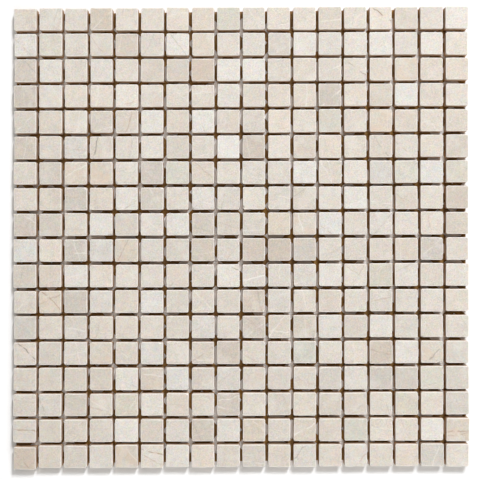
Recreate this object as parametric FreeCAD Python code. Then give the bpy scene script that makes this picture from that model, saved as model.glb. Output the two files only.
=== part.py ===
import FreeCAD, Part
import math
import os
import random

# A sheet of small square marble tiles, face up, with open joints between them.
# A perforated brown paper, glued to the tiles' backs, holds the sheet together.
# Millimetres. +Z is up, +X runs along the rows of tiles and +Y across them.
# The origin is on the paper's underside, at the middle of the sheet's outline.

# Tiles
tile_size = 15.0
tile_thickness = 8.0
size_spread = 0.3  # most that a tile is larger or smaller than tile_size
size_steps = 2  # sizes kept between tile_size and the largest, and as many below
corner_radius = 0.7
arris_width = 0.3  # worn edge around the face
columns = 18
rows = 18

# Joints
column_joint_width = 1.85  # between two neighbours of a row
row_joint_width = 2.05  # between two rows
place_play = 0.06  # share of a joint that a tile may stand off its place
turn_play = 0.45  # most that a tile is turned, in degrees
row_rise = 1.4  # how far a row climbs from its first tile to its last
laying_seed = 7

# Tiles that slipped as they were laid, by row and column from the top left: how far in x and y
slipped_tiles = {
    (1, 11): (-0.4, 0.0),
    (2, 2): (0.0, 0.3),
    (4, 8): (0.0, -0.3),
    (11, 18): (0.0, -0.3),
    (17, 18): (0.2, -0.4),
    (18, 1): (0.1, -1.0),
    (18, 18): (0.0, -0.4),
}

# Paper backing
paper_thickness = 0.5
paper_side_inset = 0.4  # from the outer tiles' edges to the paper's cut ends
paper_edge_inset = 1.9  # from the outer rows' edges to the paper's long edges
paper_shift = 0.6  # the paper lies a little nearer to the first row
paper_turn = 0.68  # degrees that the paper is turned under the tiles
opening_size = 9.6  # square openings, set cornerwise
strand_width = 4.5  # paper left between two openings
selvedge = 4.5  # paper left along the long edges, about
opening_shift = 2.4  # the middle opening, from the middle of the sheet

# Sizes that follow
column_pitch = tile_size + column_joint_width
row_pitch = tile_size + row_joint_width
sheet_width = columns * tile_size + (columns - 1) * column_joint_width
sheet_depth = rows * tile_size + (rows - 1) * row_joint_width
paper_width = sheet_width - 2 * paper_side_inset
paper_depth = sheet_depth - 2 * paper_edge_inset
opening_diagonal = opening_size * math.sqrt(2)
opening_pitch = (opening_size + strand_width) * math.sqrt(2)
opening_row_pitch = opening_pitch / 2


def tile_solid(width, depth):
    """One tile, centred on the Z axis, its back on the paper."""
    block = Part.makeBox(width, depth, tile_thickness)
    block.translate(FreeCAD.Vector(-width / 2, -depth / 2, paper_thickness))
    uprights = [edge for edge in block.Edges if edge.BoundBox.ZLength > tile_thickness / 2]
    rounded = block.makeFillet(corner_radius, uprights)
    top = paper_thickness + tile_thickness
    rim = [edge for edge in rounded.Edges if edge.BoundBox.ZMin > top - arris_width / 2]
    return rounded.makeChamfer(arris_width, rim)


def tile_stock():
    """The tiles to lay: one of each width and depth that the sawing leaves."""
    steps = range(-size_steps, size_steps + 1)
    sizes = [tile_size + size_spread * step / max(size_steps, 1) for step in steps]
    return [tile_solid(width, depth) for width in sizes for depth in sizes]


def tile_row(row, stock, chance):
    """The tiles of one row, each a little off its place, as hand-laid tiles are."""
    tiles = []
    for column in range(columns):
        tile = chance.choice(stock).copy()
        turn = chance.uniform(-turn_play, turn_play)
        tile.rotate(FreeCAD.Vector(0, 0, 0), FreeCAD.Vector(0, 0, 1), turn)
        from_middle = column - (columns - 1) / 2
        x = from_middle * column_pitch
        y = ((rows - 1) / 2 - row) * row_pitch
        y += row_rise * from_middle / max(columns - 1, 1)
        x += column_joint_width * place_play * chance.uniform(-1, 1)
        y += row_joint_width * place_play * chance.uniform(-1, 1)
        slip_x, slip_y = slipped_tiles.get((row + 1, column + 1), (0.0, 0.0))
        tile.translate(FreeCAD.Vector(x + slip_x, y + slip_y, 0))
        tiles.append(tile)
    return Part.makeCompound(tiles)


def flat_shape(points):
    return Part.Face(Part.makePolygon(points + points[:1]))


def paper_point(along, across):
    """A point of the turned paper: along its rows of openings, and across them."""
    turn = math.radians(paper_turn)
    x = along * math.cos(turn) - across * math.sin(turn)
    y = along * math.sin(turn) + across * math.cos(turn) + paper_shift
    return FreeCAD.Vector(x, y, 0)


def long_edge_point(x, across):
    """The point at x of a line that runs along the turned paper."""
    turn = math.radians(paper_turn)
    y = x * math.tan(turn) + across / math.cos(turn) + paper_shift
    return FreeCAD.Vector(x, y, 0)


def paper_outline():
    """Long edges turned with the paper, ends cut off square with the tiles."""
    side = paper_width / 2
    edge = paper_depth / 2
    return flat_shape([long_edge_point(-side, -edge), long_edge_point(side, -edge),
                       long_edge_point(side, edge), long_edge_point(-side, edge)])


def opening_rows():
    """How far across the paper each row of openings lies. All are whole openings."""
    free_depth = paper_depth - 2 * selvedge - opening_diagonal
    row_count = max(round(free_depth / opening_row_pitch), 0) + 1
    return [(row - (row_count - 1) / 2) * opening_row_pitch for row in range(row_count)]


def square_openings():
    """The openings, row by row. Every second row is staggered by half a pitch."""
    half = opening_diagonal / 2
    reach = math.ceil(paper_width / opening_pitch / 2) + 2
    lines = opening_rows()
    openings = []
    for row, across in enumerate(lines):
        stagger = ((row - len(lines) // 2) % 2) * opening_pitch / 2
        for step in range(-reach, reach + 1):
            along = opening_shift + stagger + step * opening_pitch
            corners = [(along - half, across), (along, across - half),
                       (along + half, across), (along, across + half)]
            openings.append(flat_shape([paper_point(a, b) for a, b in corners]))
    return openings


def paper_quarter(from_side, to_side, outline, openings):
    """The paper between two strands that cross near the middle of the sheet."""
    lines = opening_rows()
    along = opening_shift - opening_pitch / 2
    across = lines[len(lines) // 2]
    reach = paper_width + paper_depth
    corners = [(along, across)]
    for toward_x, toward_y in (from_side, to_side):
        corners.append((along + toward_x * reach, across + toward_y * reach))
    wedge = flat_shape([paper_point(a, b) for a, b in corners])
    quarter = outline.common(wedge)
    near = [o for o in openings if o.BoundBox.intersect(quarter.BoundBox)]
    return quarter.cut(near).extrude(FreeCAD.Vector(0, 0, paper_thickness))


def paper_quarters():
    """The paper, parted along the middle of two strands, where no opening is cut."""
    outline = paper_outline()
    openings = square_openings()
    back_right, back_left = (1, 1), (-1, 1)
    front_right, front_left = (1, -1), (-1, -1)
    return {
        "paper_back": paper_quarter(back_right, back_left, outline, openings),
        "paper_left": paper_quarter(back_left, front_left, outline, openings),
        "paper_front": paper_quarter(front_left, front_right, outline, openings),
        "paper_right": paper_quarter(front_right, back_right, outline, openings),
    }


def build():
    chance = random.Random(laying_seed)
    stock = tile_stock()
    pieces = {}
    for row in range(rows):
        pieces["tile_row_%02d" % (row + 1)] = tile_row(row, stock, chance)
    pieces.update(paper_quarters())
    box = Part.makeCompound(list(pieces.values())).BoundBox
    centring = FreeCAD.Vector(-box.Center.x, -box.Center.y, 0)
    os.makedirs("parts", exist_ok=True)
    for name, shape in pieces.items():
        shape.translate(centring)
        shape.exportStep("parts/%s.step" % name)
        print(name, "solids", len(shape.Solids), "volume", round(shape.Volume, 1))
    print("moved by", round(centring.x, 3), round(centring.y, 3), "to the middle")
    print("outline", round(box.XLength, 2), round(box.YLength, 2), round(box.ZLength, 2))


build()
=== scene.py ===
import math
import bpy
import numpy as np
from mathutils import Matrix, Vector
from mathutils.bvhtree import BVHTree


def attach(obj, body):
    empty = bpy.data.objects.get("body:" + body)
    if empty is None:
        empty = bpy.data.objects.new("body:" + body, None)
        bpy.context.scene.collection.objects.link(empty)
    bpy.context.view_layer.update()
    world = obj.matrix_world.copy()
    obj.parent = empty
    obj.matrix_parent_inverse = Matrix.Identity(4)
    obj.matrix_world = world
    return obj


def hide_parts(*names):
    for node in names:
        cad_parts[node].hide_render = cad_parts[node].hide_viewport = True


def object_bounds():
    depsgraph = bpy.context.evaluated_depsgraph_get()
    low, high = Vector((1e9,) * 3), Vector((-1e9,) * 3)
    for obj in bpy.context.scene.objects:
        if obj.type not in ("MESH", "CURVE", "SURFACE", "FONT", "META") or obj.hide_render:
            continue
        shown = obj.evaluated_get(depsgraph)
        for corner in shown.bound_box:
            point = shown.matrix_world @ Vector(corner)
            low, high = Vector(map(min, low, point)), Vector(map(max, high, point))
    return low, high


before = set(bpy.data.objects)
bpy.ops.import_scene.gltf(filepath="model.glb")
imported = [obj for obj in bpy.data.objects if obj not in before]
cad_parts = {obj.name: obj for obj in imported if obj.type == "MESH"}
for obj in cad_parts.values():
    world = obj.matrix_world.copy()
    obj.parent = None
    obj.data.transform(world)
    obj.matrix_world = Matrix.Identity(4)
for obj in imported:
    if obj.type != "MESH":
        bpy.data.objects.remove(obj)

mm = 0.001
cadBox = [list(corner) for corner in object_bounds()]
tileRows = sorted(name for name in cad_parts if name.startswith("tile_row_"))
paperQuarters = sorted(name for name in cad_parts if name.startswith("paper_"))
floorHeight = cadBox[0][2]
faceHeight = cadBox[1][2]
print("frame:", len(tileRows), "rows of tiles,", len(paperQuarters), "quarters of paper")


# Shader helpers

def srgb(red, green, blue):
    colour = []
    for level in (red, green, blue):
        share = level / 255
        colour.append(share / 12.92 if share <= 0.04045 else ((share + 0.055) / 1.055) ** 2.4)
    return (*colour, 1.0)


# Adds a node. A value that is a socket is linked, any other is set.
def addNode(tree, kind, inputs=None, **settings):
    node = tree.nodes.new(kind)
    for name, value in settings.items():
        setattr(node, name, value)
    for name, value in (inputs or {}).items():
        if isinstance(value, bpy.types.NodeSocket):
            tree.links.new(value, node.inputs[name])
        else:
            node.inputs[name].default_value = value
    return node


def maths(tree, operation, first, second=0.0, clamp=False):
    terms = {0: first, 1: second}
    return addNode(tree, "ShaderNodeMath", terms, operation=operation, use_clamp=clamp).outputs[0]


def mixColour(tree, factor, first, second, blend="MIX"):
    parts = {0: factor, 6: first, 7: second}
    return addNode(tree, "ShaderNodeMix", parts, data_type="RGBA", blend_type=blend).outputs[2]


# Eases a value from 0 at low to 1 at high.
def ease(tree, value, low, high, start=0.0, end=1.0):
    parts = {"Value": value, "From Min": low, "From Max": high, "To Min": start, "To Max": end}
    return addNode(tree, "ShaderNodeMapRange", parts, interpolation_type="SMOOTHSTEP").outputs[0]


def scaled(tree, vector, factor):
    parts = {0: vector, 3: factor}
    return addNode(tree, "ShaderNodeVectorMath", parts, operation="SCALE").outputs[0]


def newGroup(name, inputs, outputs):
    group = bpy.data.node_groups.new(name, "ShaderNodeTree")
    for label, kind, value in inputs:
        socket = group.interface.new_socket(label, in_out="INPUT", socket_type="NodeSocket" + kind)
        if value is not None:
            socket.default_value = value
    for label, kind in outputs:
        group.interface.new_socket(label, in_out="OUTPUT", socket_type="NodeSocket" + kind)
    start = group.nodes.new("NodeGroupInput")
    end = group.nodes.new("NodeGroupOutput")
    return group, start.outputs, end.inputs


def useGroup(tree, group, inputs):
    return addNode(tree, "ShaderNodeGroup", inputs, node_tree=group).outputs


# Soft clouds with patches about Size across. Spots are in millimetres.
def makeCloudGroup():
    group, given, made = newGroup(
        "softCloud",
        [("Spot", "Vector", None), ("Size", "Float", 8.0), ("Detail", "Float", 3.0)],
        [("Cloud", "Float")],
    )
    across = maths(group, "DIVIDE", 1.0, given["Size"])
    noise = addNode(group, "ShaderNodeTexNoise", {
        "Vector": given["Spot"], "Scale": across, "Detail": given["Detail"], "Roughness": 0.55,
    })
    lowest, highest = 0.28, 0.72      # the noise hardly goes past these
    group.links.new(ease(group, noise.outputs["Fac"], lowest, highest), made["Cloud"])
    return group


# Fine grain: crystals in the stone, fibres' specks in the paper.
def makeGrainGroup():
    group, given, made = newGroup(
        "fineGrain",
        [("Spot", "Vector", None), ("Size", "Float", 0.5), ("Sharpness", "Float", 0.5)],
        [("Grain", "Float"), ("Height", "Float")],
    )
    across = maths(group, "DIVIDE", 1.0, given["Size"])
    noise = addNode(group, "ShaderNodeTexNoise", {
        "Vector": given["Spot"], "Scale": across, "Detail": 2.0, "Roughness": given["Sharpness"],
    })
    crystalsAcross = 1.4              # crystals to one patch of noise
    noiseShare, crystalShare = 0.65, 0.35
    crystals = addNode(group, "ShaderNodeTexVoronoi", {
        "Vector": given["Spot"], "Scale": maths(group, "MULTIPLY", across, crystalsAcross),
    })
    flecks = addNode(group, "ShaderNodeSeparateColor", {"Color": crystals.outputs["Color"]})
    mixed = maths(group, "MULTIPLY", noise.outputs["Fac"], noiseShare)
    mixed = maths(group, "ADD", mixed, maths(group, "MULTIPLY", flecks.outputs[0], crystalShare))
    group.links.new(mixed, made["Grain"])
    group.links.new(noise.outputs["Fac"], made["Height"])
    return group


# Painted highlight along the arris: Rim is 1 on the edge, and noise breaks its inner side.
def makeArrisHighlightGroup():
    group, given, made = newGroup(
        "arrisHighlightMask",
        [("Rim", "Float", 0.0), ("Spot", "Vector", None), ("Reach", "Float", 0.5)],
        [("Mask", "Float")],
    )
    unhighlighted, paintedHighlight = 0.15, 0.75
    noise = addNode(group, "ShaderNodeTexNoise", {"Vector": given["Spot"], "Scale": 1.1, "Detail": 2.0})
    swing = maths(group, "SUBTRACT", noise.outputs["Fac"], 0.5)
    broken = maths(group, "ADD", given["Rim"], maths(group, "MULTIPLY", swing, given["Reach"]))
    group.links.new(ease(group, broken, unhighlighted, paintedHighlight), made["Mask"])
    return group


# Glue that crept up from the paper, in uneven tongues. Height and Climb are in millimetres.
def makeGlueGroup():
    group, given, made = newGroup(
        "glueTrace",
        [("Spot", "Vector", None), ("Height", "Float", 0.0), ("Climb", "Float", 1.2)],
        [("Mask", "Float")],
    )
    shortest, tallest = 0.2, 2.0      # tongues, as shares of Climb
    fadeOut, fadeIn = -0.25, 0.35     # the edge of a tongue, from above it to below it
    noiseRange = (0.3, 0.75)
    noise = addNode(group, "ShaderNodeTexNoise", {"Vector": given["Spot"], "Scale": 0.45, "Detail": 3.0})
    tongue = ease(group, noise.outputs["Fac"], *noiseRange, shortest, tallest)
    limit = maths(group, "MULTIPLY", given["Climb"], tongue)
    below = maths(group, "SUBTRACT", limit, given["Height"])
    group.links.new(ease(group, below, fadeOut, fadeIn), made["Mask"])
    return group


# A vein along a line, given the distance from it in millimetres: it wanders, thins and breaks off.
# Dark and Pale are masks, for a strength above and below 0.
def makeVeinGroup():
    group, given, made = newGroup(
        "stoneVein",
        [("Spot", "Vector", None), ("Away", "Float", 0.0), ("Strength", "Float", 0.0)],
        [("Dark", "Float"), ("Pale", "Float")],
    )
    wander = 4.5                      # how far it strays from its line
    coreEdge = (0.12, 0.42)           # the vein is solid up to the first distance and ends at the second
    stainEdge = (0.1, 1.3)
    stainStrength = 0.22
    breakRange = (0.36, 0.52)         # noise below this breaks the vein off
    bend = addNode(group, "ShaderNodeTexNoise", {"Vector": given["Spot"], "Scale": 0.11, "Detail": 3.0})
    breaks = addNode(group, "ShaderNodeTexNoise", {"Vector": given["Spot"], "Scale": 0.19, "Detail": 1.0})
    swing = maths(group, "MULTIPLY", maths(group, "SUBTRACT", bend.outputs["Fac"], 0.5), wander)
    away = maths(group, "ABSOLUTE", maths(group, "ADD", given["Away"], swing))
    core = ease(group, away, *coreEdge, 1.0, 0.0)
    stain = ease(group, away, *stainEdge, stainStrength, 0.0)
    whole = ease(group, breaks.outputs["Fac"], *breakRange)
    drawn = maths(group, "MULTIPLY", maths(group, "MAXIMUM", core, stain), whole)
    group.links.new(maths(group, "MULTIPLY", drawn, given["Strength"], clamp=True), made["Dark"])
    pale = maths(group, "MULTIPLY", given["Strength"], -1.0)
    group.links.new(maths(group, "MULTIPLY", drawn, pale, clamp=True), made["Pale"])
    return group


softCloud = makeCloudGroup()
fineGrain = makeGrainGroup()
arrisHighlightMask = makeArrisHighlightGroup()
glueTrace = makeGlueGroup()
stoneVein = makeVeinGroup()
print("shader groups made")


# Tiles

# Lengths in millimetres.
tileLook = {
    "cornerRadius": (0.6, 1.4),       # each corner is ground a little differently
    "columns": 18,
    "cornerSteps": 5,
    "sideSteps": 15,
    "fanDepth": 4.0,                  # how far in from its corners a tile's insets converge
    "waviness": 0.045,                # sawn sides aren't quite straight
    "sideWaves": (3, 5, 9, 14),       # waves to one round of the tile
    "sawRipple": 0.05,
    "sawWaves": (7, 11, 17, 23),
    "smallChips": 5.0,                # on a tile, on average
    "smallChip": (0.04, 0.16),        # depth of such a chip
    "smallChipReach": (0.4, 1.1),     # half its width
    "bigChipShare": 0.2,              # tiles with a chip that shows
    "bigChip": (0.3, 0.8),
    "bigChipReach": (0.8, 1.7),
    "bigChipPlace": (0.9, 1.2),       # how far past a corner, on average, and how much that varies
    "freshDepth": 0.25,               # chips this deep show only fresh stone
    "faceRim": 0.9,                   # chips show fresh stone on the rings out from here
    "soilShadeDepth": 0.5,                # soiling and painted shade start this far below the face
    "glueReach": 0.5,                 # how far into the joint paper holds glue to the tile's foot
    "outsideSoilShade": 0.35,              # the sheet's outer sides take less of the soiling and painted shade than those in the joints
    "cloudiness": (0.6, 1.4),
    "faintPatches": (0.15, 0.5),      # share of the plainer tiles with a peach patch, and its strength
    "faintVeinShare": 0.45,
    "faintVein": (-0.55, 0.4),        # its strength
    "faintVeinReach": 5,              # how far from the middle it may run
    "stoneReach": 400,                # each tile's figure comes from a place up to this far off in the stone
    "seed": 21,
    "veinSeed": 400,
}

# Rings of a tile from its back to its face: depth below the face, inset,
# share of a chip's depth that it is cut back by and that it drops by, painted highlight on the rim.
tileProfile = [
    (8.0, 0.14, 0.0, 0.0, 0.3),
    (7.82, 0.0, 0.0, 0.0, 0.2),
    (5.4, 0.0, 0.0, 0.0, 0.0),
    (2.8, 0.0, 0.0, 0.0, 0.0),
    (1.1, 0.0, 0.08, 0.0, 0.1),
    (0.46, 0.02, 0.5, 0.8, 0.6),
    (0.24, 0.08, 0.8, 0.9, 1.0),
    (0.1, 0.19, 1.0, 0.8, 1.0),
    (0.025, 0.36, 1.0, 0.45, 0.85),
    (0.0, 0.62, 0.9, 0.0, 0.3),
    (0.0, 1.0, 0.75, 0.0, 0.0),
]

# Tiles that stand out in the photograph, by row and column from its top left.
standouts = {
    "pale": [
        (2, 15), (2, 17), (3, 2), (3, 9), (3, 10), (4, 2), (4, 5), (4, 16), (5, 3), (5, 6), (5, 8),
        (6, 9), (7, 12), (7, 17), (8, 5), (8, 14), (9, 4), (9, 7), (9, 13), (10, 1), (11, 3), (12, 6),
        (14, 16), (15, 5), (15, 7), (16, 6), (17, 5), (17, 9), (17, 17), (18, 7),
    ],
    "grey": [
        (3, 7), (5, 1), (8, 3), (9, 8), (10, 3), (10, 17), (12, 3), (15, 15), (15, 16), (17, 8),
    ],
    "brown": [
        (2, 5), (3, 1), (3, 8), (4, 1), (4, 13), (6, 10), (7, 6), (8, 18), (9, 1), (10, 10), (10, 11),
        (10, 12), (12, 10), (13, 10), (14, 9), (14, 15), (16, 9), (18, 1),
    ],
    "green": [
        (1, 9), (2, 2), (5, 13), (7, 7), (7, 16), (7, 18), (11, 15), (14, 12), (15, 17), (16, 5), (16, 16),
        (17, 14),
    ],
    "peach": [
        (3, 16), (5, 15), (7, 4), (9, 12), (10, 5), (12, 2), (14, 4), (14, 17), (17, 18), (18, 5),
    ],
}

# Levels of 255. The usual tone is that of all tiles which don't stand out.
stoneTones = {
    "usual": (223, 215, 209),
    "pale": (229, 224, 221),
    "grey": (212, 204, 198),
    "brown": (212, 201, 193),
    "green": (217, 212, 204),
    "peach": (221, 212, 204),
}

# How a tile differs from its kind's tone, in levels of 255: brighter or darker, warmer or cooler.
toneSpread = {
    "usual": 4.2,
    "standout": 2.0,
    "redShare": 0.85,                 # how much of a difference in brightness red and blue take
    "blueShare": 1.2,
    "warmRed": 1.1,
    "warmBlue": 1.2,
    "lightest": 246,
}

# The plainest veins: the way each runs in degrees, its distance from the tile's middle,
# and its strength, which is below 0 for a vein paler than the stone.
seenVeins = {
    (1, 15): [(-33, 2.2, 0.9)],
    (3, 14): [(-38, 1.0, 0.7)],
    (5, 1): [(40, -0.2, -0.6)],
    (6, 4): [(82, 4.0, 1.0)],
    (10, 3): [(-3, -1.3, -0.6)],
    (11, 9): [(-35, 6.6, 0.7)],
    (11, 10): [(10, -1.8, -0.9)],
    (12, 1): [(43, -0.3, -0.5)],
    (12, 2): [(-45, 1.3, 0.6), (25, 1.9, 0.4)],
    (13, 11): [(-3, -3.0, -0.6), (51, 1.6, -0.5)],
    (14, 1): [(-41, 2.0, 1.1)],
    (14, 17): [(42, -2.2, 0.7)],
    (16, 2): [(-60, -4.7, 0.7)],
    (17, 1): [(-5, 0.8, 0.7)],
    (17, 12): [(28, 0.5, -0.7)],
    (17, 18): [(5, -1.5, 0.6), (12, -3.5, 0.4)],
    (18, 6): [(-12, 2.5, 0.9), (-20, -2.3, 0.4)],
    (18, 12): [(50, 4.3, 0.6)],
}


# Finds every tile of a row in its CAD mesh: middle, size and turn.
def readTiles(rowName):
    leastJoint = 0.8 * mm
    mostJoint = 5 * mm
    mostTurn = 1.2                    # degrees
    turnSteps = 120
    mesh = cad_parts[rowName].data
    spots = np.empty(len(mesh.vertices) * 3)
    mesh.vertices.foreach_get("co", spots)
    spots = spots.reshape(-1, 3)
    spots = spots[np.argsort(spots[:, 0])]
    steps = np.diff(spots[:, 0])
    joints = np.flatnonzero((steps > leastJoint) & (steps < mostJoint))
    turns = np.radians(np.linspace(-mostTurn, mostTurn, turnSteps + 1))
    tiles = []
    for points in np.split(spots, joints + 1):
        along = np.outer(points[:, 0], np.cos(turns)) + np.outer(points[:, 1], np.sin(turns))
        across = np.outer(points[:, 1], np.cos(turns)) - np.outer(points[:, 0], np.sin(turns))
        best = np.argmin(np.ptp(along, axis=0) * np.ptp(across, axis=0))
        turn = turns[best]
        u = (along[:, best].min() + along[:, best].max()) / 2
        v = (across[:, best].min() + across[:, best].max()) / 2
        x = u * math.cos(turn) - v * math.sin(turn)
        y = u * math.sin(turn) + v * math.cos(turn)
        tiles.append({
            "middle": (x, y),
            "size": (np.ptp(along[:, best]) / mm, np.ptp(across[:, best]) / mm),
            "turn": turn,
        })
    return tiles


# The outline of one tile in millimetres: points, inward directions and the way along.
# Inward directions fan in from the corners, so that no inset ring folds over itself.
def tileOutline(size, chance):
    points = []
    halves = (size[0] / 2, size[1] / 2)
    radii = chance.uniform(*tileLook["cornerRadius"], 4)
    cornerWays = [(1, 1), (-1, 1), (-1, -1), (1, -1)]
    arcs = []
    for number, (wayX, wayY) in enumerate(cornerWays):
        radius = radii[number]
        middle = (wayX * (halves[0] - radius), wayY * (halves[1] - radius))
        angles = math.pi / 2 * (number + np.linspace(0, 1, tileLook["cornerSteps"] + 1))
        arc = [(middle[0] + radius * math.cos(a), middle[1] + radius * math.sin(a)) for a in angles]
        arcs.append(arc)
    for number in range(4):
        points += arcs[number]
        start = np.array(arcs[number][-1])
        end = np.array(arcs[(number + 1) % 4][0])
        for share in np.arange(1, tileLook["sideSteps"]) / tileLook["sideSteps"]:
            points.append(tuple(start + (end - start) * share))
    points = np.array(points)
    core = np.array(halves) - tileLook["fanDepth"]
    inward = np.clip(points, -core, core) - points
    inward /= np.hypot(*inward.T)[:, None]
    lengths = np.hypot(*(np.roll(points, -1, axis=0) - points).T)
    way = np.concatenate([[0], np.cumsum(lengths)[:-1]])
    return points, inward, way, lengths.sum()


# Sums a few sines with whole waves round the outline.
def waves(way, total, chance, counts, height):
    weakest = 0.3                     # share of the height that a wave has at least
    fullTurn = 6.3                    # about, in radians
    value = np.zeros(len(way))
    for count in counts:
        share = chance.uniform(weakest, 1)
        value += share * np.sin(2 * math.pi * count * way / total + chance.uniform(0, fullTurn))
    return value * height / len(counts)


# How deep chips cut into the outline, at each of its points.
def chipDepths(way, total, chance):
    look = tileLook
    bluntness = 0.8                   # a chip's floor is rounder below 1 and more pointed above it
    chips = []
    for _ in range(chance.poisson(look["smallChips"])):
        spot = chance.uniform(0, total)
        chips.append((spot, chance.uniform(*look["smallChipReach"]), chance.uniform(*look["smallChip"])))
    if chance.random() < look["bigChipShare"]:
        spot = (chance.integers(0, 4) * total / 4 + chance.normal(*look["bigChipPlace"])) % total
        chips.append((spot, chance.uniform(*look["bigChipReach"]), chance.uniform(*look["bigChip"])))
    depth = np.zeros(len(way))
    for spot, reach, deep in chips:
        away = np.abs((way - spot + total / 2) % total - total / 2)
        depth = np.maximum(depth, deep * np.clip(1 - (away / reach) ** 2, 0, None) ** bluntness)
    return depth


# The kind of a tile and the tone of its stone.
def toneOf(row, column, chance):
    look = toneSpread
    kinds = [kind for kind, places in standouts.items() if (row, column) in places]
    kind = kinds[0] if kinds else "usual"
    level = chance.normal(0, 1)
    warmth = chance.normal(0, 1)
    spread = look["usual"] if kind == "usual" else look["standout"]
    red, green, blue = stoneTones[kind]
    tone = (
        red + spread * level * look["redShare"] + look["warmRed"] * warmth,
        green + spread * level,
        blue + spread * level * look["blueShare"] - look["warmBlue"] * warmth,
    )
    return kind, srgb(*[min(max(part, 0), look["lightest"]) for part in tone])


# Two veins of a tile: the way each runs, its distance from the middle and its strength.
def veinsOf(row, column, chance):
    look = tileLook
    reach = look["faintVeinReach"]
    veins = list(seenVeins.get((row, column), []))
    while len(veins) < 2:
        shown = chance.random() < look["faintVeinShare"]
        strength = chance.uniform(*look["faintVein"]) if shown else 0.0
        veins.append((chance.uniform(-90, 90), chance.uniform(-reach, reach), strength))
    return veins


# The paper of all quarters, to find out where it lies under a joint.
def paperTree():
    corners, sides = [], []
    for name in paperQuarters:
        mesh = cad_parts[name].data
        start = len(corners)
        corners += [corner.co.copy() for corner in mesh.vertices]
        sides += [[start + number for number in side.vertices] for side in mesh.polygons]
    return BVHTree.FromPolygons(corners, sides)


# How much glue stands along a tile's foot: 1 over paper and 0 over an opening, with soft ends.
def gluedShare(x, y, inward, turn):
    start = floorHeight + 2 * mm
    reach = 1.9 * mm                  # from above the paper to just over the floor
    down = Vector((0, 0, -1))
    outX = x - (inward[:, 0] * math.cos(turn) - inward[:, 1] * math.sin(turn)) * tileLook["glueReach"]
    outY = y - (inward[:, 0] * math.sin(turn) + inward[:, 1] * math.cos(turn)) * tileLook["glueReach"]
    share = np.zeros(len(x))
    for number, spot in enumerate(zip(outX * mm, outY * mm)):
        share[number] = paper.ray_cast(Vector((*spot, start)), down, reach)[0] is not None
    return (np.roll(share, 1) + 2 * share + np.roll(share, -1)) / 4


# True for the points of a tile's outline that lie on the sheet's own outline.
def onOutside(row, column, inward):
    squarely = 0.7                    # corners count as outside up to about 45 degrees
    outside = np.zeros(len(inward), bool)
    for isLast, axis, way in (
        (row == 1, 1, 1), (row == len(tileRows), 1, -1),
        (column == 1, 0, -1), (column == tileLook["columns"], 0, 1),
    ):
        if isLast:
            outside |= inward[:, axis] * way < -squarely
    return outside


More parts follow.
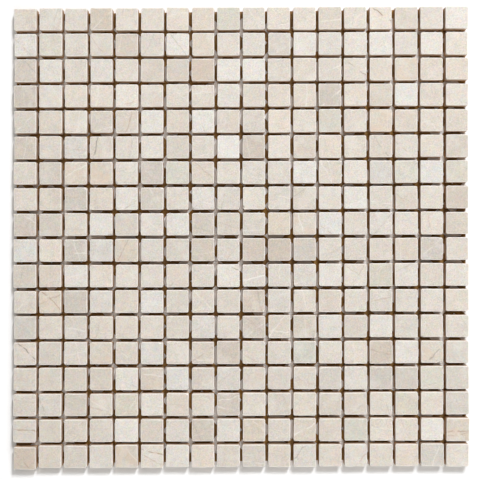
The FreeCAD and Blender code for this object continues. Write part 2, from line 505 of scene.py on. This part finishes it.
# One row of tiles as one mesh, each tile a closed shape of its own.
def makeTileRow(rowName, rowNumber, material):
    look = tileLook
    chance = np.random.default_rng(look["seed"] + rowNumber)
    veinChance = np.random.default_rng(look["veinSeed"] + rowNumber)
    ringCount = len(tileProfile)
    thickness = tileProfile[0][0]
    vertices, faces, tints, stoneSpots, paintedLightAndWearRings, figures, glues, lines = [], [], [], [], [], [], [], []
    total = 0
    for columnNumber, tile in enumerate(readTiles(rowName), start=1):
        points, inward, way, length = tileOutline(tile["size"], chance)
        count = len(points)
        chip = chipDepths(way, length, chance)
        ripple = waves(way, length, chance, look["sideWaves"], look["waviness"])
        kind, tint = toneOf(rowNumber, columnNumber, chance)
        offset = chance.uniform(-look["stoneReach"], look["stoneReach"], 3)
        outside = onOutside(rowNumber, columnNumber, inward)
        veins = veinsOf(rowNumber, columnNumber, veinChance)
        patchShare, faintPatch = look["faintPatches"]
        patches = 1.0 if kind == "peach" else float(chance.random() < patchShare) * faintPatch
        clouds = chance.uniform(*look["cloudiness"])
        cosine, sine = math.cos(tile["turn"]), math.sin(tile["turn"])
        for ringNumber, (below, inset, chipShare, dropShare, paintedLightAndWear) in enumerate(tileProfile):
            sawn = np.zeros(count)
            if 0 < below < thickness:
                sawn = waves(way, length, chance, look["sawWaves"], look["sawRipple"])
            edge = inset + np.abs(ripple) + chip * chipShare + np.abs(sawn)
            flat = points + inward * edge[:, None]
            heights = faceHeight / mm - below - chip * dropShare
            x = tile["middle"][0] / mm + flat[:, 0] * cosine - flat[:, 1] * sine
            y = tile["middle"][1] / mm + flat[:, 0] * sine + flat[:, 1] * cosine
            if ringNumber == 0:
                glued = gluedShare(x, y, inward, tile["turn"])
            vertices.append(np.stack([x, y, heights], 1) * mm)
            glues.append(glued)
            stoneSpots.append(np.stack([flat[:, 0], flat[:, 1], np.full(count, -below)], 1) + offset)
            # Sides below the face take sawn soiling and painted shade of the joints, the sheet's outer sides
            # less
            side = np.zeros(count)
            if below > look["soilShadeDepth"]:
                side = np.where(outside, look["outsideSoilShade"], 1.0)
            chipped = np.zeros(count)
            if chipShare > 0 and inset < look["faceRim"]:
                chipped = np.clip(chip / look["freshDepth"], 0, 1)
            paintedLightAndWearRings.append(np.stack([np.full(count, paintedLightAndWear), side, chipped], 1))
            tints.append(np.tile(tint, (count, 1)))
            figures.append(np.tile((veins[0][2], patches, clouds), (count, 1)))
            away = []
            for angle, distance, _ in veins:
                run = math.radians(angle)
                away.append(flat[:, 1] * math.cos(run) - flat[:, 0] * math.sin(run) - distance)
            lines.append(np.stack([*away, np.full(count, veins[1][2])], 1))
        ring = np.arange(count)
        after = np.roll(ring, -1)
        for ringNumber in range(ringCount - 1):
            low = total + ringNumber * count
            quads = np.stack([low + ring, low + after, low + count + after, low + count + ring], 1)
            faces += quads.tolist()
        faces.append((total + ring[::-1]).tolist())
        faces.append((total + (ringCount - 1) * count + ring).tolist())
        total += ringCount * count
    mesh = bpy.data.meshes.new(rowName + "_stone")
    mesh.from_pydata(np.concatenate(vertices).tolist(), [], faces)
    for name, kind, field, values in (
        ("tint", "FLOAT_COLOR", "color", tints),
        ("stoneSpot", "FLOAT_VECTOR", "vector", stoneSpots),
        ("paintedLightAndWear", "FLOAT_VECTOR", "vector", paintedLightAndWearRings),
        ("figure", "FLOAT_VECTOR", "vector", figures),
        ("lines", "FLOAT_VECTOR", "vector", lines),
        ("glued", "FLOAT", "value", glues),
    ):
        layer = mesh.attributes.new(name, kind, "POINT")
        layer.data.foreach_set(field, np.concatenate(values).astype(np.float32).ravel())
    mesh.shade_smooth()
    for face in mesh.polygons:
        isFlat = len(face.vertices) > 4  # faces and backs
        face.use_smooth = not isFlat
    mesh.update()
    row = bpy.data.objects.new(rowName + "_stone", mesh)
    bpy.context.scene.collection.objects.link(row)
    row.data.materials.append(material)
    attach(row, "root")
    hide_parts(rowName)


# Sizes and heights in millimetres. A depth is how far brightness swings, as a share of it.
# A range is where a cloud starts to show and where it shows fully.
marbleLook = {
    "cloudSize": 7.0,
    "cloudDepth": 0.07,
    "mottleSize": 1.2,
    "mottleDepth": 0.08,
    "grainSize": 0.62,
    "grainDepth": 0.58,
    "hueSize": 2.6,
    "hueTones": (srgb(255, 247, 246), srgb(247, 254, 247)),
    "hueStrength": 0.8,
    "warmSize": 1.7,
    "warmTones": (srgb(254, 252, 240), srgb(250, 251, 255)),
    "peachSize": 9.0,
    "peachRange": (0.45, 0.8),
    "peachTone": srgb(222, 198, 174),
    "peachStrength": 0.4,
    "milkSize": 6.0,
    "milkRange": (0.62, 0.95),
    "milkTone": srgb(238, 234, 228),
    "milkStrength": 0.22,
    "veinRange": (0.42, 0.58),        # from brown veins to grey ones
    "brownVein": srgb(170, 132, 98),
    "greyVein": srgb(160, 150, 138),
    "paleVein": srgb(244, 239, 232),
    # sides: sawn dust and glue, with painted shade deeper in the joints
    "sawnSoilShadeTone": srgb(216, 160, 84),
    "soilShadeStart": 1.0,                 # heights above the floor between which the soiling and painted shade fade
    "soilShadeEnd": 5.0,
    "soilShadeLeft": 0.3,                  # soiling and painted shade left above that
    "soilShadeByGlue": 0.2,                # share of the soiling and painted shade that is there only over paper
    "glueTone": srgb(102, 66, 30),
    "goldTone": srgb(200, 142, 70),
    "glueStrength": 0.85,
    "glueClimb": 2.6,
    "lumpSize": 3.5,                  # lumps of golden glue
    "lumpRange": (0.42, 0.72),
    # painted highlight: the pale rim along each tile's arris
    "highlightTone": srgb(252, 247, 241),
    "highlightStrength": 0.75,
    "highlightReach": 0.7,                 # how far noise breaks the painted highlight on the rim
    "brokenTone": srgb(236, 232, 226),
    "brokenStrength": 0.5,
    "roughness": 0.62,
    "roughSwing": 0.12,
    "sawnRoughness": 0.25,            # added on the sides
    "bumpStrength": 0.25,
    "bumpHeight": 0.06 * mm,
    "faceRelief": 0.6,
    "sawnRelief": 2.5,
    "mottleRelief": 0.5,
}


def attribute(tree, name):
    return addNode(tree, "ShaderNodeAttribute", attribute_type="GEOMETRY", attribute_name=name).outputs


# Honed cream marble: tone, clouds, mottling, crystals, veins, a painted highlight on the rims, sawn sides
# with soiling and painted shade, and glue.
# Each cloud reads the spot at a scale of its own, so that no two of them fall together.
def makeMarble():
    look = marbleLook
    material = bpy.data.materials.new("creamMarble")
    material.use_nodes = True
    tree = material.node_tree
    tree.nodes.clear()
    spot = attribute(tree, "stoneSpot")["Vector"]
    colour = attribute(tree, "tint")["Color"]
    paintedLightAndWear = addNode(tree, "ShaderNodeSeparateXYZ", {0: attribute(tree, "paintedLightAndWear")["Vector"]}).outputs
    figure = addNode(tree, "ShaderNodeSeparateXYZ", {0: attribute(tree, "figure")["Vector"]}).outputs

    def cloudAt(scale, size, detail):
        place = spot if scale == 1 else scaled(tree, spot, scale)
        return useGroup(tree, softCloud, {"Spot": place, "Size": size, "Detail": detail})["Cloud"]

    def swung(value, depth):
        return maths(tree, "MULTIPLY", maths(tree, "SUBTRACT", value, 0.5), depth)

    # lighter and darker drifts
    mottle = cloudAt(1.3, look["mottleSize"], 3.0)
    grain = useGroup(tree, fineGrain, {"Spot": spot, "Size": look["grainSize"]})
    drift = maths(tree, "MULTIPLY", swung(cloudAt(1, look["cloudSize"], 4.0), look["cloudDepth"]), figure[2])
    level = maths(tree, "ADD", drift, swung(mottle, look["mottleDepth"]))
    level = maths(tree, "ADD", level, swung(grain["Grain"], look["grainDepth"]))
    level = maths(tree, "ADD", level, 1.0)
    colour = scaled(tree, colour, level)

    # faint drifts of hue: pink and green, then warm and cool
    hue = mixColour(tree, cloudAt(0.77, look["hueSize"], 2.0), *look["hueTones"])
    colour = mixColour(tree, look["hueStrength"], colour, hue, "MULTIPLY")
    warm = mixColour(tree, cloudAt(-0.9, look["warmSize"], 2.0), *look["warmTones"])
    colour = mixColour(tree, 1.0, colour, warm, "MULTIPLY")

    # peach and milky patches
    patch = ease(tree, cloudAt(1.1, look["peachSize"], 3.0), *look["peachRange"])
    patch = maths(tree, "MULTIPLY", patch, maths(tree, "MULTIPLY", figure[1], look["peachStrength"]))
    colour = mixColour(tree, patch, colour, look["peachTone"])
    milk = ease(tree, cloudAt(0.6, look["milkSize"], 4.0), *look["milkRange"])
    milk = maths(tree, "MULTIPLY", milk, look["milkStrength"])
    colour = mixColour(tree, milk, colour, look["milkTone"])

    # thin veins, brown in one tile and grey in another, or paler than the stone
    lines = addNode(tree, "ShaderNodeSeparateXYZ", {0: attribute(tree, "lines")["Vector"]}).outputs
    wide = addNode(tree, "ShaderNodeTexNoise", {"Vector": spot, "Scale": 0.012, "Detail": 0.0}).outputs["Fac"]
    veinTone = mixColour(tree, ease(tree, wide, *look["veinRange"]), look["brownVein"], look["greyVein"])
    for away, strength in ((lines[0], figure[0]), (lines[1], lines[2])):
        vein = useGroup(tree, stoneVein, {"Spot": spot, "Away": away, "Strength": strength})
        colour = mixColour(tree, vein["Dark"], colour, veinTone)
        colour = mixColour(tree, vein["Pale"], colour, look["paleVein"])

    # sawn sides and back, browner deeper down: partly sawn dust and glue, partly painted shade of the deep
    # joints; glue lowest
    place = addNode(tree, "ShaderNodeTexCoord").outputs["Object"]
    height = addNode(tree, "ShaderNodeSeparateXYZ", {0: place}).outputs[2]
    height = maths(tree, "MULTIPLY", maths(tree, "SUBTRACT", height, floorHeight), 1 / mm)
    glued = attribute(tree, "glued")["Fac"]
    soilAndShade = ease(tree, height, look["soilShadeStart"], look["soilShadeEnd"], 1.0, look["soilShadeLeft"])
    byGlue = maths(tree, "MULTIPLY", glued, look["soilShadeByGlue"])
    soilAndShade = maths(tree, "MULTIPLY", soilAndShade, maths(tree, "ADD", byGlue, 1 - look["soilShadeByGlue"]))
    colour = mixColour(tree, maths(tree, "MULTIPLY", paintedLightAndWear[1], soilAndShade), colour, look["sawnSoilShadeTone"])
    glue = useGroup(tree, glueTrace, {"Spot": spot, "Height": height, "Climb": look["glueClimb"]})["Mask"]
    glue = maths(tree, "MULTIPLY", glue, glued)
    lump = ease(tree, cloudAt(-1.2, look["lumpSize"], 2.0), *look["lumpRange"])
    glueTone = mixColour(tree, lump, look["glueTone"], look["goldTone"])
    colour = mixColour(tree, maths(tree, "MULTIPLY", glue, look["glueStrength"]), colour, glueTone)

    # painted highlight: a pale rim along the arris, broken by noise; chips show fresh stone
    paintedHighlight = useGroup(tree, arrisHighlightMask, {"Rim": paintedLightAndWear[0], "Spot": spot, "Reach": look["highlightReach"]})["Mask"]
    colour = mixColour(tree, maths(tree, "MULTIPLY", paintedHighlight, look["highlightStrength"]), colour, look["highlightTone"])
    broken = maths(tree, "MULTIPLY", paintedLightAndWear[2], look["brokenStrength"])
    colour = mixColour(tree, broken, colour, look["brokenTone"])

    rough = maths(tree, "MULTIPLY", mottle, look["roughSwing"])
    rough = maths(tree, "ADD", rough, look["roughness"] - look["roughSwing"] / 2)
    rough = maths(tree, "ADD", rough, maths(tree, "MULTIPLY", paintedLightAndWear[1], look["sawnRoughness"]))
    sawnRelief = maths(tree, "MULTIPLY", paintedLightAndWear[1], look["sawnRelief"])
    relief = maths(tree, "MULTIPLY", grain["Height"], maths(tree, "ADD", sawnRelief, look["faceRelief"]))
    relief = maths(tree, "ADD", relief, maths(tree, "MULTIPLY", mottle, look["mottleRelief"]))
    bump = addNode(tree, "ShaderNodeBump", {
        "Height": relief, "Strength": look["bumpStrength"], "Distance": look["bumpHeight"],
    })
    shader = addNode(tree, "ShaderNodeBsdfPrincipled", {
        "Base Color": colour, "Roughness": rough, "Normal": bump.outputs[0], "IOR": 1.48,
    })
    addNode(tree, "ShaderNodeOutputMaterial", {"Surface": shader.outputs[0]})
    return material


marble = makeMarble()
paper = paperTree()
for number, name in enumerate(tileRows, start=1):
    makeTileRow(name, number, marble)
print("tiles laid")


# Paper backing

# Sizes in millimetres.
paperLook = {
    "tone": srgb(150, 110, 50),
    "paleTone": srgb(192, 148, 76),   # of single fibres
    "darkTone": srgb(94, 66, 27),     # where glue soaked in
    "stainSize": 14.0,
    "stainStrength": 0.65,
    "fibres": ((0.5, 9.0), (1.9, 7.0)),  # the way they lie in radians, and their length to their width
    "fibreScale": 0.35,
    "fibreRange": (0.45, 0.75),       # where a fibre starts to show pale and where it does fully
    "speckSize": 0.4,
    "speckTones": (srgb(205, 205, 205), srgb(255, 255, 255)),
    "speckStrength": 0.5,
    "speckRelief": 0.4,
    "roughness": 0.8,
    "stainGloss": 0.25,               # taken from the roughness where it is stained
    "bumpStrength": 0.5,
    "bumpHeight": 0.08 * mm,
}


# Brown paper: fibres lying both ways, darker where glue soaked in.
def makePaperMaterial():
    look = paperLook
    material = bpy.data.materials.new("brownPaper")
    material.use_nodes = True
    tree = material.node_tree
    tree.nodes.clear()
    place = addNode(tree, "ShaderNodeTexCoord").outputs["Object"]
    spot = scaled(tree, place, 1 / mm)
    stain = useGroup(tree, softCloud, {"Spot": spot, "Size": look["stainSize"], "Detail": 4.0})["Cloud"]
    specks = useGroup(tree, fineGrain, {"Spot": spot, "Size": look["speckSize"], "Sharpness": 0.7})
    fibres = None
    for angle, stretch in look["fibres"]:
        width = look["fibreScale"]
        turned = addNode(tree, "ShaderNodeMapping", {
            "Vector": spot, "Rotation": (0, 0, angle), "Scale": (width, width * stretch, 1.0),
        }).outputs[0]
        noise = addNode(tree, "ShaderNodeTexNoise", {"Vector": turned, "Scale": 1.0, "Detail": 3.0})
        strand = noise.outputs["Fac"]
        fibres = strand if fibres is None else maths(tree, "MAXIMUM", fibres, strand)
    colour = mixColour(tree, ease(tree, fibres, *look["fibreRange"]), look["tone"], look["paleTone"])
    soaked = maths(tree, "MULTIPLY", stain, look["stainStrength"])
    colour = mixColour(tree, soaked, colour, look["darkTone"])
    speckled = mixColour(tree, specks["Grain"], *look["speckTones"])
    colour = mixColour(tree, look["speckStrength"], colour, speckled, "MULTIPLY")
    rough = maths(tree, "SUBTRACT", look["roughness"], maths(tree, "MULTIPLY", stain, look["stainGloss"]))
    relief = maths(tree, "ADD", fibres, maths(tree, "MULTIPLY", specks["Height"], look["speckRelief"]))
    bump = addNode(tree, "ShaderNodeBump", {
        "Height": relief, "Strength": look["bumpStrength"], "Distance": look["bumpHeight"],
    })
    shader = addNode(tree, "ShaderNodeBsdfPrincipled", {
        "Base Color": colour, "Roughness": rough, "Normal": bump.outputs[0],
    })
    addNode(tree, "ShaderNodeOutputMaterial", {"Surface": shader.outputs[0]})
    return material


brownPaper = makePaperMaterial()
for name in paperQuarters:
    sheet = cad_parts[name]
    sheet.data.materials.clear()
    sheet.data.materials.append(brownPaper)
print("paper finished")


# Floor, light and camera

# Distances in metres. The sky's places are parts of its direction, which has a length of 1.
stageLook = {
    "floorSize": 5.0,
    "floorTone": 0.98,
    "floorLift": 0.14,                # what the lens sees on top around the sheet, for a white ground
    "liftReach": 9 * mm,
    "farReach": (0.15, 0.9),          # between these distances the floor fades to white
    "floorGap": 0.02 * mm,
    "skyBands": (                     # bands of light along Y: how far right of overhead, reach, strength
        (0.0, 0.16, 2.7),
        (0.42, 0.25, 0.7),
    ),
    "skyDim": 0.02,                   # the light between and around the bands
    "skyGap": 0.4,                    # the bands are dimmer overhead than this far along them
    "skyOverhead": 0.6,
    "skyTone": (1.0, 0.985, 0.945, 1.0),
    "lampTone": (0.97, 0.978, 1.0),   # with the sky's tone it makes plain white
}

# Soft boxes: a far and a near one up on the right beyond the first row, and a low one in front.
# Places and aims are metres from the middle of the sheet, sizes are metres, strengths are watts.
lampLook = {
    "farBox": {"place": (0.6, 1.3, 2.0), "aim": (0, 0, 0), "size": (0.16, 0.6), "power": 27.5},
    "nearBox": {"place": (0.2, 0.52, 0.9), "aim": (-0.2, -0.8, 0), "size": (0.12, 0.3), "power": 3.4},
    "frontBox": {"place": (0.12, -0.5, 0.28), "aim": (0, 0, 0), "size": (0.3, 0.2), "power": 0.48},
}


# 1 for rays that come straight from the lens, from gloss or through glass.
def seenDirectly(tree):
    path = addNode(tree, "ShaderNodeLightPath").outputs
    seen = maths(tree, "ADD", path["Is Camera Ray"], path["Is Glossy Ray"])
    return maths(tree, "ADD", seen, path["Is Transmission Ray"], clamp=True)


# How far a point of the floor lies outside the sheet's outline.
def aroundSheet(tree):
    place = addNode(tree, "ShaderNodeTexCoord").outputs["Object"]
    spot = addNode(tree, "ShaderNodeSeparateXYZ", {0: place}).outputs
    out = None
    for axis in (0, 1):
        reach = (cadBox[1][axis] - cadBox[0][axis]) / 2
        away = maths(tree, "SUBTRACT", maths(tree, "ABSOLUTE", spot[axis]), reach)
        out = away if out is None else maths(tree, "MAXIMUM", out, away)
    return out


def makeFloor():
    look = stageLook
    half = look["floorSize"] / 2
    height = floorHeight - look["floorGap"]
    mesh = bpy.data.meshes.new("floor")
    corners = [(-half, -half, height), (half, -half, height), (half, half, height), (-half, half, height)]
    mesh.from_pydata(corners, [], [(0, 1, 2, 3)])
    floor = bpy.data.objects.new("floor", mesh)
    bpy.context.scene.collection.objects.link(floor)
    material = bpy.data.materials.new("paleFloor")
    material.use_nodes = True
    tree = material.node_tree
    tree.nodes.clear()
    away = aroundSheet(tree)
    lift = ease(tree, away, 0.0, look["liftReach"], 0.0, look["floorLift"])
    lift = maths(tree, "ADD", lift, ease(tree, away, *look["farReach"], 0.0, 1.0))
    lift = maths(tree, "MULTIPLY", lift, seenDirectly(tree))
    tone = (look["floorTone"],) * 3 + (1.0,)
    shader = addNode(tree, "ShaderNodeBsdfPrincipled", {
        "Base Color": tone, "Roughness": 0.9, "Emission Color": (1, 1, 1, 1), "Emission Strength": lift,
    })
    addNode(tree, "ShaderNodeOutputMaterial", {"Surface": shader.outputs[0]})
    mesh.materials.append(material)


def makeLight():
    look = stageLook
    world = bpy.data.worlds.new("studio")
    bpy.context.scene.world = world
    world.use_nodes = True
    tree = world.node_tree
    tree.nodes.clear()
    way = addNode(tree, "ShaderNodeTexCoord").outputs["Generated"]
    way = addNode(tree, "ShaderNodeSeparateXYZ", {0: way}).outputs
    level = look["skyDim"]
    for middle, spread, light in look["skyBands"]:
        aside = maths(tree, "ABSOLUTE", maths(tree, "SUBTRACT", way[0], middle))
        level = maths(tree, "ADD", level, ease(tree, aside, 0.0, spread, light, 0.0))
    along = maths(tree, "ABSOLUTE", way[1])
    level = maths(tree, "MULTIPLY", level, ease(tree, along, 0.0, look["skyGap"], look["skyOverhead"], 1.0))
    seen = seenDirectly(tree)
    unseen = maths(tree, "SUBTRACT", 1.0, seen)
    strength = maths(tree, "ADD", maths(tree, "MULTIPLY", level, unseen), seen)
    tone = mixColour(tree, seen, look["skyTone"], (1, 1, 1, 1))
    sky = addNode(tree, "ShaderNodeBackground", {"Color": tone, "Strength": strength})
    addNode(tree, "ShaderNodeOutputWorld", {"Surface": sky.outputs[0]})
    for name, box in lampLook.items():
        lamp = bpy.data.lights.new(name, "AREA")
        lamp.shape = "RECTANGLE"
        lamp.size, lamp.size_y = box["size"]
        lamp.energy = box["power"]
        lamp.color = look["lampTone"]
        shining = bpy.data.objects.new(name, lamp)
        bpy.context.scene.collection.objects.link(shining)
        shining.location = box["place"]
        away = Vector(box["place"]) - Vector(box["aim"])
        shining.rotation_euler = away.to_track_quat("Z", "Y").to_euler()
        shining.visible_camera = False
        shining.visible_glossy = True


cameraLook = {
    "height": 690 * mm,               # above the floor
    "frameSize": 480,
    "scale": 1.510,                   # pixels of the frame to a millimetre of the tiles' faces
    "sheetMiddle": (241.25, 237.4),   # where the middle of the sheet shows in the frame
    "tilt": 0.5,                      # degrees: the lens leans a little towards the first row
}


def makeCamera():
    look = cameraLook
    data = bpy.data.cameras.new("camera")
    camera = bpy.data.objects.new("camera", data)
    bpy.context.scene.collection.objects.link(camera)
    bpy.context.scene.camera = camera
    middle = look["frameSize"] / 2
    aimX = (middle - look["sheetMiddle"][0]) / look["scale"] * mm
    aimY = (look["sheetMiddle"][1] - middle) / look["scale"] * mm
    reach = look["height"] - faceHeight
    width = look["frameSize"] / look["scale"] * mm
    data.sensor_width = 36.0
    data.lens = data.sensor_width * reach / width
    data.clip_start = 0.01
    tilt = math.radians(look["tilt"])
    camera.rotation_euler = (tilt, 0, 0)
    camera.location = (aimX, aimY - reach * math.tan(tilt), look["height"])


makeFloor()
makeLight()
makeCamera()
bpy.context.scene.view_settings.view_transform = "Standard"
print("floor, light and camera set")
